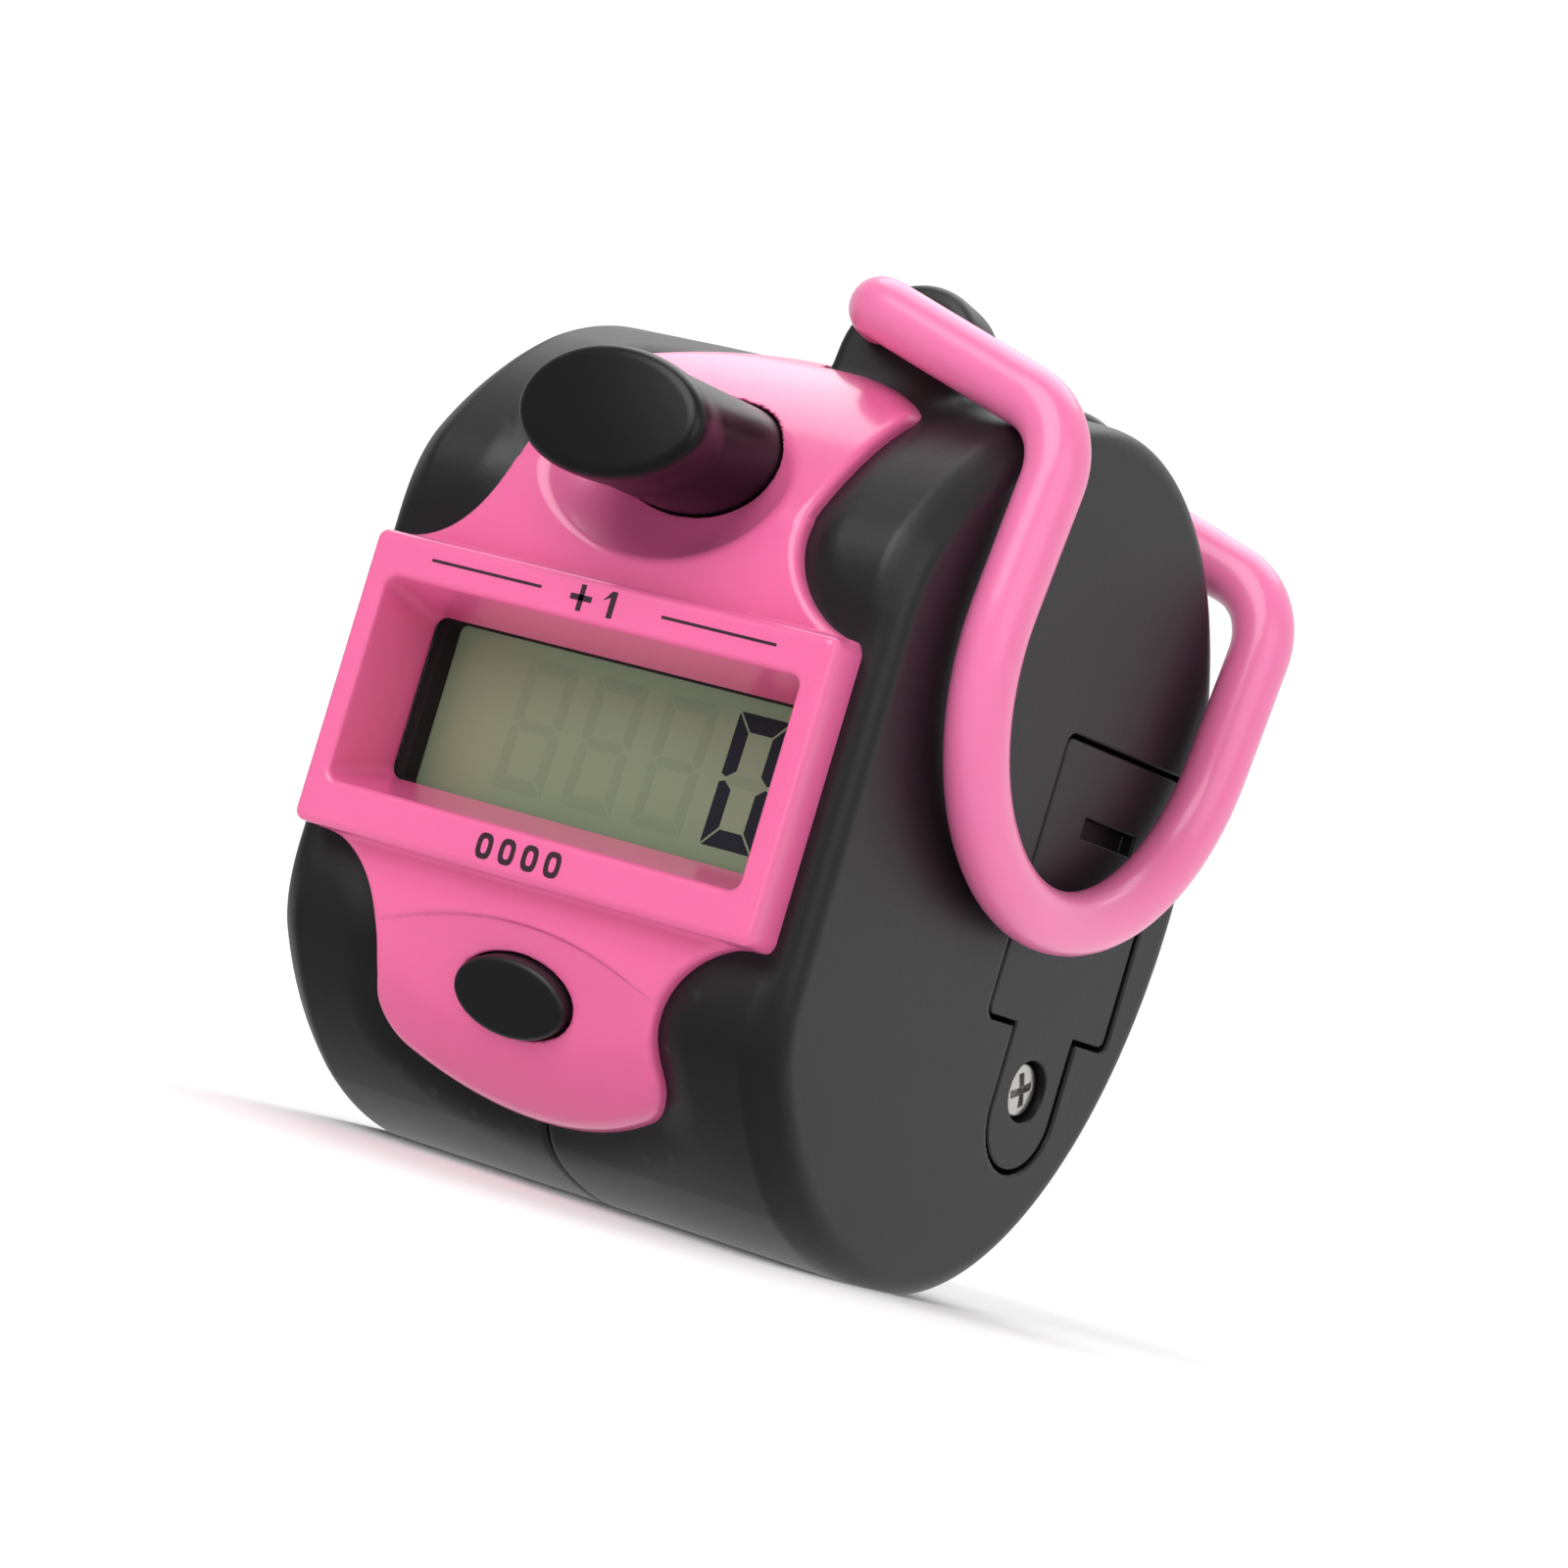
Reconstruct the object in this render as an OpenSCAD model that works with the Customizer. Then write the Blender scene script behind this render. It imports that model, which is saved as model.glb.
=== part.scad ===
// Hand tally counter: oval case in two halves, front mask with a display frame,
// a thumb plunger, a reset button, a swinging finger ring and a side battery door.
// Origin: centre of the small flat under the case. X to the ring side, -Y to the display, Z up.

/* [Case] */
// Overall width of the case, side face to side face
body_w = 33.5; // [33:0.1:34]
// Height of the centre of the oval above the resting flat
centre_z = 23.2; // [23.1:0.05:23.3]
// Half height of the oval
half_h = 23.45; // [23.4:0.05:23.5]
// Half depth of the oval towards the back
rear_r = 17.4; // [17.2:0.1:17.6]
// Half depth of the oval towards the front, before the flat front cuts it
front_r = 20; // [19.9:0.1:20.1]
// Distance from the centre to the flat front
front_d = 17.1; // [17:0.05:17.2]
// Wall thickness of both halves
wall = 1.6; // [1.4:0.1:1.7]
// Rounding along the side rims
rim_r = 1.4; // [1:0.1:1.6]

/* [Front mask] */
// Thickness of the mask over the case
mask_t = 0.8; // [0.7:0.05:0.9]
// Width of the display frame
frame_w = 30; // [29.5:0.1:30.5]
// Height of the display frame
frame_h = 16; // [15.8:0.1:16.2]
// How far the display frame stands in front of the case
frame_out = 2.5; // [2:0.1:3]
// Height of the middle of the display
display_z = 22.9; // [22.8:0.05:23]
// Radius of the spherical scoop round the plunger
scoop_r = 10.46; // [10.2:0.05:10.6]

/* [Plunger] */
// Half width of the oval thumb plunger
plunger_rx = 5.2; // [5:0.05:5.3]
// Half height of the oval thumb plunger
plunger_rz = 3.35; // [3.2:0.05:3.4]
// Height of the plunger's axis
plunger_z = 38.9; // [38.8:0.05:39]
// Radial clearance of the plunger in its bore
plunger_gap = 0.08; // [0.05:0.01:0.1]
// Distance from the case centre plane to the middle of the cap
cap_d = 23.6; // [23:0.1:23.8]
// Backward lean of the cap
cap_tilt = 4.6; // [0:0.2:8]
// How far the cap's rim stands out past the stem
cap_lip = 0.55; // [0.4:0.05:0.6]

/* [Reset button] */
// Half width of the oval reset button
reset_rx = 3.95; // [3.8:0.05:4]
// Height to width of the oval
reset_flat = 0.58; // [0.56:0.01:0.6]
// Downward tilt of the reset button's axis
reset_tilt = 20; // [18:1:22]

/* [Finger ring] */
// Radius of the ring's rod
rod_r = 1.7; // [1.6:0.05:1.75]
// Half the distance between the two arms
ring_half = 12.5; // [12.4:0.05:12.6]
// Distance from the mid-plane to the hanging arms
ring_x = 18.75; // [18.7:0.05:19.2]
// Backward slope of the hinge line
hinge_slope = 8; // [7:0.5:9]
// Radius of the hinge pins
pin_r = 1.1; // [1:0.05:1.15]
// Radial clearance of the hinge pins in the ears
pin_gap = 0.08; // [0.05:0.01:0.1]

/* [Battery] */
// Diameter of the button cell
cell_d = 11.6; // [11.4:0.1:11.6]
// Thickness of the button cell
cell_t = 5.4; // [5.2:0.1:5.4]

/* [Hidden] */
$fn = 0;
$fa = 4;
$fs = 0.3;
hw = body_w / 2;
seam = 0.02;
big = 60;
front_y = -front_d;
frame_y = front_y - frame_out;
mask_y = front_y - mask_t;
wall_end_y = -14.2;
recess_draft = 10;
scoop_y = -24;
scoop_z = 41;
boss_end_y = -12.2;
board_y = -4;
board_t = 1.6;
hinge_x = 3.75;
hinge_y = 2.9;
hinge_z = 47.7;
leg_drop = 16.6;
leg_dz = (ring_x - hinge_x) * tan(leg_drop);
ring_drop = 14.4;
corner_r = 4.5;
corner_t = corner_r * tan((90 - leg_drop) / 2);
pin_bend = 2.2;
lap = 0.15;
leg_len = (ring_x - hinge_x) / cos(leg_drop);
ear_out = ring_half - pin_bend - 0.3;
ear_in = 6.7;
door_y0 = 1.35;
door_y1 = 13.6;
door_z0 = 15.5;
door_z1 = 30.6;
door_x = hw - 0.1;
door_t = 1.45;
tab_y0 = 4.3;
tab_y1 = 10.4;
screw_y = 7.35;
screw_z = 12.1;
cell_y = 7.5;
cell_z = 23;
case_screws = [[2.5, 40], [4.5, 6], [11.8, 33.2]];
post_x = 11.5;
post_z = [12.4, 33.4];
peg_z = [12.4, 32.8];
peg_x = 8.2;
clear = 0.15;

case_col = [0.09, 0.09, 0.1];
pink = [0.93, 0.42, 0.66];
metal = [0.78, 0.78, 0.8];
gold = [0.8, 0.65, 0.3];

// ---------- shared shapes ----------

// round drum lying along X, with rounded rims
module drum(r, h, e) {
    rotate([0, 90, 0])
        rotate_extrude() {
            translate([0, -h]) square([r - e, 2 * h]);
            translate([0, e - h]) square([r, 2 * (h - e)]);
            for (s = [-1, 1])
                translate([r - e, s * (h - e)])
                    intersection() {
                        circle(r = e);
                        translate([0, -e]) square([e, 2 * e]);
                    }
        }
}

// the oval body, grown outwards by g
module oval(g, h, e) {
    translate([0, 0, centre_z]) {
        intersection() {
            scale([1, (front_r + g) / (half_h + g), 1]) drum(half_h + g, h, e);
            translate([-big / 2, front_y - g, -big / 2]) cube([big, -front_y + g, big]);
        }
        intersection() {
            scale([1, (rear_r + g) / (half_h + g), 1]) drum(half_h + g, h, e);
            translate([-big / 2, 0, -big / 2]) cube([big, big, big]);
        }
    }
}

// the oval body without rounded rims
module plain_oval(g, h) {
    translate([0, 0, centre_z]) {
        intersection() {
            scale([1, (front_r + g) / (half_h + g), 1]) rod_x(-h, h, 0, 0, half_h + g);
            translate([-big / 2, front_y - g, -big / 2]) cube([big, -front_y + g, big]);
        }
        intersection() {
            scale([1, (rear_r + g) / (half_h + g), 1]) rod_x(-h, h, 0, 0, half_h + g);
            translate([-big / 2, 0, -big / 2]) cube([big, big, big]);
        }
    }
}

// a box given by its two corners
module box(a, b) {
    translate(a) cube(b - a);
}

// a cylinder along X
module rod_x(x0, x1, y, z, r) {
    translate([x0, y, z]) rotate([0, 90, 0]) cylinder(r = r, h = x1 - x0);
}

// a cylinder along Y
module rod_y(y0, y1, x, z, r) {
    translate([x, y0, z]) rotate([-90, 0, 0]) cylinder(r = r, h = y1 - y0);
}

// the sloping frame of the ring's hinge line
module at_hinge() {
    translate([hinge_x, hinge_y, hinge_z]) rotate([-hinge_slope, 0, 0]) children();
}

// the tilted frame of the reset button, local Z outwards
module at_reset() {
    translate([0, -16.88, 9.1]) rotate([90 + reset_tilt, 0, 0]) children();
}

// oval rod along Y
module oval_y(y0, y1, z, rx, rz) {
    translate([0, y1, z]) rotate([90, 0, 0]) scale([1, rz / rx, 1]) cylinder(r = rx, h = y1 - y0, $fn = 128);
}

// oval plate square to its own axis
module oval_disc(r, z0, z1) {
    translate([0, 0, z0]) scale([1, reset_flat, 1]) cylinder(r = r, h = z1 - z0);
}

// flat outline in the XZ plane turned into a block reaching from y0 to y1
module front_block(y0, y1) {
    translate([0, y1, 0]) rotate([90, 0, 0]) linear_extrude(height = y1 - y0) children();
}

// flat outline in the YZ plane turned into a block reaching from x0 to x1
module side_block(x0, x1) {
    translate([x0, 0, 0]) rotate([90, 0, 90]) linear_extrude(height = x1 - x0) children();
}

module rounded_rect(w, h, r) {
    square([w - 2 * r, h], center = true);
    square([w, h - 2 * r], center = true);
    for (x = [-1, 1], y = [-1, 1])
        translate([x * (w / 2 - r), y * (h / 2 - r)]) circle(r = r);
}

// ---------- case ----------

module shell_half(s) {
    intersection() {
        difference() {
            oval(0, hw, rim_r);
            plain_oval(-wall, hw - wall);
            box([-big, -big, -big], [big, big, 0]);
        }
        if (s > 0)
            box([seam, -big, -big], [big, big, 2 * big]);
        else
            box([-big, -big, -big], [-seam, big, 2 * big]);
    }
}

// openings both halves share in the front wall
module front_openings() {
    translate([0, 0, display_z])
        front_block(front_y - 1, -13.5) rounded_rect(29, 13.8, 1);
    translate([0, scoop_y, scoop_z]) sphere(r = scoop_r + 0.9);
    oval_y(-22, -12, plunger_z, 6.35, 5);
    oval_y(-13, -8.7, plunger_z, 6.3, 4.9);
    at_reset() oval_disc(5.8, -6, 2);
    for (x = [-peg_x, peg_x], z = peg_z)
        rod_y(front_y - 1, -13, x, z, 1);
}

module case_left() {
    color(case_col)
        difference() {
            union() {
                shell_half(-1);
                for (p = case_screws)
                    rod_x(0.4 - hw, -seam, p[0], p[1], 2.6);
            }
            front_openings();
            for (p = case_screws) {
                rod_x(-hw - 1, 3.4 - hw, p[0], p[1], 2.15);
                rod_x(-hw - 1, 1, p[0], p[1], 1.05);
            }
        }
}

module door_outline(g) {
    translate([door_y0 - g, door_z0 - g])
        square([door_y1 - door_y0 + 2 * g, door_z1 - door_z0 + 2 * g]);
    translate([tab_y0 - g, screw_z - 1.25])
        square([tab_y1 - tab_y0 + 2 * g, door_z0 - screw_z + 2]);
    translate([(tab_y0 + tab_y1) / 2, screw_z - 1.25]) circle(r = (tab_y1 - tab_y0) / 2 + g);
}

// an ear for the ring's pin, drawn in the hinge frame
module ear(y0, y1, bottom) {
    translate([5.4 - hinge_x, 0, -2]) {
        rod_y(y0, y1, 0, 0, 4.4);
        box([-4.4, y0, 2 - bottom], [4.4, y1, -0.5]);
    }
}

module case_right() {
    color(case_col)
        difference() {
            union() {
                shell_half(1);
                for (p = case_screws)
                    rod_x(seam, hw - 1, p[0], p[1], 2.6);
                intersection() {
                    union() {
                        side_block(hw - 3.4, hw - wall + 0.1) door_outline(1.1);
                        rod_x(8.2, hw - 1, cell_y, cell_z, 7.3);
                        rod_x(9.5, hw - 1, screw_y, screw_z, 2.7);
                    }
                    plain_oval(-0.9, hw - 0.9);
                }
                at_hinge() {
                    ear(-ear_out, -ear_in, 4.9);
                    ear(ear_in, ear_out, 9.6);
                }
            }
            front_openings();
            for (p = case_screws)
                rod_x(-1, 9.4, p[0], p[1], 1);
            side_block(door_x - door_t - 0.05, hw + 1) door_outline(clear);
            rod_x(9.2, hw + 1, cell_y, cell_z, cell_d / 2 + 0.25);
            // pocket for the side contact
            translate([0, cell_y, cell_z]) rotate([90, 0, 90])
                rotate_extrude(angle = 360) translate([cell_d / 2 - 1, 9.6]) square([1.6, 5.7]);
            // space for the door's boss and the screw
            rod_x(13.9, hw, screw_y, screw_z, 2.5);
            rod_x(10.2, hw, screw_y, screw_z, 0.8);
            // slot for the door's tongue
            box([hw - 2.6, 4.8, door_z1 - 1.8], [hw - 1.5, 10.2, door_z1 + 1.35]);
            // holes for the two contact tails
            rod_x(7, 10, cell_y, cell_z - 4, 0.6);
            rod_x(7, 10, cell_y - 2, cell_z + 4.6, 0.6);
            at_hinge()
                for (s = [-1, 1])
                    rod_y(s > 0 ? ear_in - 1 : -ear_out - 1, s > 0 ? ear_out + 1 : 1 - ear_in,
                        0, 0, pin_r + pin_gap);
        }
}

// ---------- front mask ----------

module mask_outline() {
    lobe = 5.6;
    difference() {
        union() {
            translate([-15.2, display_z - 8]) square([30.4, 16.1]);
            translate([-15.2, 9.3]) square([30.4, 27.3]);
            intersection() {
                translate([-9.5, 0]) square([19, 50]);
                translate([0, 26.6]) circle(r = 19.6);
                translate([0, 23]) circle(r = 19.6);
            }
        }
        for (s = [-1, 1]) {
            translate([s * 15.25, 36.7]) circle(r = lobe + 0.1);
            translate([s * 15, 9.2]) circle(r = lobe + 0.2);
        }
    }
}

module fascia() {
    color(pink)
        difference() {
            union() {
                intersection() {
                    difference() {
                        oval(mask_t, hw, rim_r);
                        oval(0.02, hw + 1, rim_r);
                    }
                    front_block(-22, -2) mask_outline();
                }
                // bowl of the scoop and the plunger's sleeve
                intersection() {
                    union() {
                        translate([0, scoop_y, scoop_z]) sphere(r = scoop_r + 0.8);
                        oval_y(-19, boss_end_y, plunger_z, 6, 4.4);
                    }
                    oval(mask_t - 0.05, hw, rim_r);
                    box([-9.4, -20, 30], [9.4, -11, 46]);
                }
                // display frame and its walls
                translate([0, 0, display_z]) {
                    front_block(frame_y, front_y - 0.02) rounded_rect(frame_w, frame_h, 1);
                    front_block(front_y - 0.1, wall_end_y) rounded_rect(28.4, 13.2, 0.8);
                }
                // raised seat of the reset button
                at_reset() oval_disc(5.6, -1.6, 0.45);
                for (x = [-peg_x, peg_x], z = peg_z)
                    rod_y(front_y - 0.4, -13.6, x, z, 0.9);
            }
            translate([0, scoop_y, scoop_z]) sphere(r = scoop_r);
            oval_y(-22, -10.4, plunger_z, plunger_rx + plunger_gap, plunger_rz + plunger_gap);
            // recess in front of the display, opening towards the front
            for (s = [-1, 1])
                translate([0, wall_end_y, display_z + s * 4.7])
                    rotate([-s * recess_draft, 0, 0])
                        translate([-13.45, -8, s > 0 ? -4.8 : 0]) cube([26.9, 9, 4.8]);
            at_reset() oval_disc(reset_rx + 0.1, -4, 2);
            // room for the front ear
            at_hinge() box([-3, -ear_out - 0.12, -9], [6.4, 0, 4]);
        }
}

// ---------- display ----------

module lcd_gasket() {
    color([0.05, 0.05, 0.05])
        translate([0, 0, display_z])
            difference() {
                front_block(-14.15, -13.0) rounded_rect(27.3, 12.6, 0.6);
                front_block(-15, -12) rounded_rect(26, 9, 0.4);
            }
}

module lcd_glass() {
    color([0.55, 0.58, 0.48, 0.9])
        translate([0, 0, display_z]) {
            box([-13.7, -12.95, -6.3], [13.7, -11.95, 6.3]);
            box([-13.7, -11.95, -5.9], [13.7, -10.95, 5.9]);
        }
}

module zebra_strips() {
    color([0.3, 0.3, 0.32])
        for (s = [-1, 1])
            translate([0, 0, display_z + s * 4.8])
                box([-12.4, -10.9, -0.9], [12.4, board_y - 0.02, 0.9]);
}

module lcd_holder() {
    color([0.82, 0.82, 0.8])
        difference() {
            union() {
                box([-14.9, -13.3, display_z - 8.2], [14.9, -9.6, display_z + 8.2]);
                box([-13.9, -10.8, 10.2], [13.9, -9.6, 35.6]);
                for (x = [-post_x, post_x], z = post_z)
                    rod_y(-10.5, board_y - 0.02, x, z, 2.1);
            }
            box([-13.85, -14, display_z - 6.45], [13.85, -10.8, display_z + 6.45]);
            box([-11.8, -14, display_z - 3], [11.8, -9, display_z + 3]);
            for (s = [-1, 1])
                translate([0, 0, display_z + s * 4.8])
                    box([-12.6, -11, -1.1], [12.6, -9, 1.1]);
            box([-6.5, -11, 32], [6.5, -9, 36]);
            box([-3, -11, 9], [3, -9, 14.4]);
            for (x = [-post_x, post_x], z = post_z)
                rod_y(-8.4, board_y + 1, x, z, 0.75);
        }
}

// ---------- electronics ----------

module circuit_board() {
    color([0.1, 0.35, 0.18])
        difference() {
            box([-13.4, board_y, 7.2], [13.4, board_y + board_t, 42]);
            for (x = [-post_x, post_x], z = post_z)
                rod_y(board_y - 1, board_y + board_t + 1, x, z, 0.85);
            for (s = [-1, 1])
                translate([s * 13.4, 0, 42])
                    rotate([0, 45, 0]) cube([3, 20, 3], center = true);
        }
}

module chip_blob() {
    color([0.04, 0.04, 0.05])
        intersection() {
            translate([-4, board_y + board_t - 3.2, 22]) sphere(r = 4.6);
            box([-10, board_y + board_t, 16], [2, 0, 28]);
        }
}

module board_screws() {
    color(metal)
        for (x = [-post_x, post_x], z = post_z)
            difference() {
                union() {
                    rod_y(-8.2, board_y + board_t + 0.1, x, z, 0.7);
                    rod_y(board_y + board_t, board_y + board_t + 0.9, x, z, 1.4);
                }
                for (a = [0, 90])
                    translate([x, board_y + board_t + 0.9, z])
                        rotate([0, a, 0]) cube([1.6, 0.9, 0.35], center = true);
            }
}

module resistor() {
    color([0.1, 0.1, 0.12]) {
        box([3.2, board_y + board_t, 29], [4.2, board_y + board_t + 0.5, 29.5]);
        box([3.2, board_y + board_t, 27.9], [4.2, board_y + board_t + 0.5, 28.4]);
        box([3.2, board_y + board_t, 28.4], [4.2, board_y + board_t + 0.45, 29]);
    }
}

module capacitor() {
    color([0.6, 0.5, 0.35])
        box([-10.2, board_y + board_t, 28], [-9, board_y + board_t + 0.9, 30]);
}

module count_switch() {
    color([0.2, 0.2, 0.22]) {
        box([-3, -7.5, plunger_z - 3], [3, board_y, plunger_z + 3]);
        rod_y(-8.65, -7.4, 0, plunger_z, 1.6);
    }
}

module reset_switch() {
    color([0.2, 0.2, 0.22]) {
        box([-2.2, -6, 10.9], [2.2, board_y, 15.3]);
        rod_y(-6.6, -5.9, 0, 13.1, 1.1);
    }
}

// ---------- controls ----------

module count_button() {
    color([0.06, 0.06, 0.07])
        difference() {
            union() {
                oval_y(-26, -11.4, plunger_z, plunger_rx, plunger_rz);
                oval_y(-26, -21.9, plunger_z, plunger_rx + cap_lip, plunger_rz + 0.15);
                intersection() {
                    oval_y(-11.9, -10.9, plunger_z, 5.95, 4.6);
                    box([-7, -12, 30], [7, -10, 41.4]);
                }
            }
            // face of the cap
            translate([0, -cap_d, plunger_z]) rotate([-cap_tilt, 0, 0])
                translate([-10, -20, -15]) cube([20, 20, 30]);
            rod_y(-19.5, -10, 0, plunger_z, 1.4);
        }
}

// open coil standing along Z, built from tilted half turns
module coil(r, w, h, turns) {
    pitch = (h - 2 * w) / turns;
    a = asin(pitch / (4 * r));
    for (k = [0:2 * turns - 1])
        translate([0, 0, w + (k + 0.5) * pitch / 2])
            rotate([0, 0, 180 * k])
                rotate([0, a, 0])
                    rotate_extrude(angle = 180) translate([r, 0]) circle(r = w);
}

module count_spring() {
    color(metal)
        translate([0, -7.52, plunger_z]) rotate([90, 0, 0]) coil(2.5, 0.2, 3.36, 2.5);
}

module reset_button() {
    color([0.06, 0.06, 0.07])
        at_reset() {
            oval_disc(reset_rx, -2.6, 0.6);
            oval_disc(5.1, -2.9, -1.95);
            translate([0, 0, -9.2]) cylinder(r = 1.1, h = 7);
        }
}

// ---------- battery ----------

module battery_door() {
    color(case_col)
        difference() {
            union() {
                side_block(door_x - door_t, door_x) door_outline(0);
                rod_x(14.05, 15.4, screw_y, screw_z, 2.3);
                box([hw - 2.4, 5, door_z1 - 1.6], [hw - 1.65, 10, door_z1 + 1.1]);
                box([hw - 2.4, 5, door_z1 - 1.6], [hw - 1.4, 10, door_z1 - 0.2]);
            }
            rod_x(13, 20, screw_y, screw_z, 0.9);
            rod_x(15.2, 20, screw_y, screw_z, 1.7);
            // finger-nail slot
            box([door_x - 0.8, 5.2, 25.8], [20, 10.6, 26.9]);
            // room for the cell's rim
            rod_x(10, door_x - door_t + 0.2, cell_y, cell_z, cell_d / 2 + 0.2);
        }
}

module door_screw() {
    color(metal)
        difference() {
            union() {
                rod_x(15.2, 16.3, screw_y, screw_z, 1.5);
                rod_x(10.6, 15.3, screw_y, screw_z, 0.75);
            }
            for (a = [20, 110])
                translate([16.3, screw_y, screw_z])
                    rotate([a, 0, 0]) cube([1, 2.1, 0.5], center = true);
        }
}

module button_cell() {
    color(metal) {
        rod_x(9.75, 9.75 + cell_t, cell_y, cell_z, cell_d / 2 - 0.6);
        rod_x(10.15, 9.65 + cell_t, cell_y, cell_z, cell_d / 2);
    }
}

module clip_plus() {
    color(gold) {
        translate([10.4, cell_y, cell_z]) rotate([90, 0, 90])
            rotate([0, 0, 70])
                rotate_extrude(angle = 40) translate([cell_d / 2 + 0.1, 0]) square([0.3, 3.4]);
    }
}

module clip_minus() {
    color(gold) {
        rod_x(9.3, 9.6, cell_y, cell_z, 4.2);
        rod_x(7.4, 9.4, cell_y, cell_z - 4, 0.4);
    }
}

// a wire from the battery bay to the back of the board, with one elbow
module wire(x0, y, z, x_elbow, r) {
    box([x_elbow - r, y - r, z - r], [x0, y + r, z + r]);
    box([x_elbow - r, board_y + board_t + 0.02, z - r], [x_elbow + r, y, z + r]);
}

module wire_plus() {
    color([0.75, 0.08, 0.06]) wire(9.2, cell_y - 2, cell_z + 4.6, 5.6, 0.4);
}

module wire_minus() {
    color([0.05, 0.05, 0.06]) wire(7.35, cell_y, cell_z - 4, 5.6, 0.4);
}

// ---------- finger ring ----------

// one arm with its leg and hinge pin, s = -1 front, 1 back
module ring_arm(s) {
    translate([0, s * ring_half, 0]) {
        rotate([0, leg_drop, 0]) {
            translate([pin_bend - lap, 0, 0]) rotate([0, 90, 0])
                cylinder(r = rod_r - 0.01, h = leg_len - pin_bend - corner_t + 2 * lap);
            translate([pin_bend, -s * pin_bend, 0])
                rotate([0, 0, s < 0 ? 180 : 90])
                    rotate_extrude(angle = 90) translate([pin_bend, 0]) circle(r = rod_r);
        }
        translate([ring_x - hinge_x - corner_r, 0, -leg_dz - corner_t])
            rotate([90, 0, 0])
                rotate_extrude(angle = 90 - leg_drop) translate([corner_r, 0]) circle(r = rod_r);
        translate([ring_x - hinge_x, 0, -ring_drop - lap])
            cylinder(r = rod_r - 0.01, h = ring_drop - leg_dz - corner_t + 2 * lap);
    }
    rod_y(s < 0 ? -ring_half + pin_bend - lap : ear_in + 0.3,
        s < 0 ? -ear_in - 0.3 : ring_half - pin_bend + lap, 0, 0, pin_r);
}

module finger_ring() {
    color(pink)
        at_hinge() {
            ring_arm(-1);
            ring_arm(1);
            translate([ring_x - hinge_x, 0, -ring_drop])
                rotate([0, 90, 0]) rotate([0, 0, -90])
                    rotate_extrude(angle = 180) translate([ring_half, 0]) circle(r = rod_r);
        }
}

// ---------- fasteners ----------

module case_screws_set() {
    color(metal)
        for (p = case_screws)
            difference() {
                union() {
                    rod_x(1.9 - hw, 3.35 - hw, p[0], p[1], 1.9);
                    rod_x(3 - hw, 8.8, p[0], p[1], 0.95);
                }
                for (a = [35, 125])
                    translate([1.9 - hw, p[0], p[1]])
                        rotate([a, 0, 0]) cube([1.2, 2.6, 0.55], center = true);
            }
}

case_left();
case_right();
fascia();
lcd_gasket();
lcd_glass();
zebra_strips();
lcd_holder();
circuit_board();
chip_blob();
count_button();
count_spring();
count_switch();
reset_button();
reset_switch();
battery_door();
door_screw();
button_cell();
clip_plus();
clip_minus();
wire_plus();
wire_minus();
finger_ring();
case_screws_set();
board_screws();
resistor();
capacitor();
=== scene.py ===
import math

import bpy
import numpy as np
from mathutils import Matrix, Vector


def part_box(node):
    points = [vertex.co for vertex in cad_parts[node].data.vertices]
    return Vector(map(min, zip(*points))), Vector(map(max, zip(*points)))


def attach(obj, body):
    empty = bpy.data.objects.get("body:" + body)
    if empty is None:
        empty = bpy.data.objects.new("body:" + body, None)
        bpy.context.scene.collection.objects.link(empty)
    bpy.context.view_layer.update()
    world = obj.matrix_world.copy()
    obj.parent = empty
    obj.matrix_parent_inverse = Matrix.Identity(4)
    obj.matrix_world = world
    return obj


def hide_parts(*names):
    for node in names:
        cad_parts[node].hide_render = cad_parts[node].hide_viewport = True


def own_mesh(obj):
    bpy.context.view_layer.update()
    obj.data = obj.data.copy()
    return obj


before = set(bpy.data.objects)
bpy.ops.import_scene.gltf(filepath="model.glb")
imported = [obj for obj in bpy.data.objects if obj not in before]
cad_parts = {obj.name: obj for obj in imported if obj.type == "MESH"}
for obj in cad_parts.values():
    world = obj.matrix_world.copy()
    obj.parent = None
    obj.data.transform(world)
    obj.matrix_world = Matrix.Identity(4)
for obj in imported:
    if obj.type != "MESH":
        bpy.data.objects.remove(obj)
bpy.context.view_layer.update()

MM = 0.001

# ---- sizes shared with the CAD, in millimetres ----
HW, CZ, RZ, RF, RR, FY = 16.75, 23.2, 23.45, 20.0, 17.4, -17.1
FRAME_Y, DISP_Z = -19.6, 22.9
SCOOP = (0.0, -24.0, 41.0, 10.46)
PLUNGER_A, PLUNGER_B, PLUNGER_Z = 5.2, 3.35, 38.9
HX, HY, HZ, SLOPE = 3.75, 2.9, 47.7, math.radians(8)
DOOR = dict(y0=1.35, y1=13.6, z0=15.5, z1=30.6, t0=4.3, t1=10.4)
SCREW_Y, SCREW_Z = 7.35, 12.1
CELL_Y, CELL_Z = 7.5, 23
CASE_SCREWS = ((2.5, 40), (4.5, 6), (11.8, 33.2))


# ---- signed distance helpers (numpy arrays, mm) ----
def smax(a, b, k):
    h = np.clip(0.5 - 0.5 * (a - b) / k, 0, 1)
    return a + (b - a) * h + k * h * (1 - h)


def smin(a, b, k):
    return -smax(-a, -b, k)


def rect2(a, b, ha, hb, r):
    qa, qb = np.abs(a) - ha + r, np.abs(b) - hb + r
    return np.hypot(np.maximum(qa, 0), np.maximum(qb, 0)) + np.minimum(np.maximum(qa, qb), 0) - r


def slab(d, e, r):
    """the shape d (2-D distance) cut by e (distance from a slab), with edge radius r"""
    qa, qb = d + r, e + r
    return np.hypot(np.maximum(qa, 0), np.maximum(qb, 0)) + np.minimum(np.maximum(qa, qb), 0) - r


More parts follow.
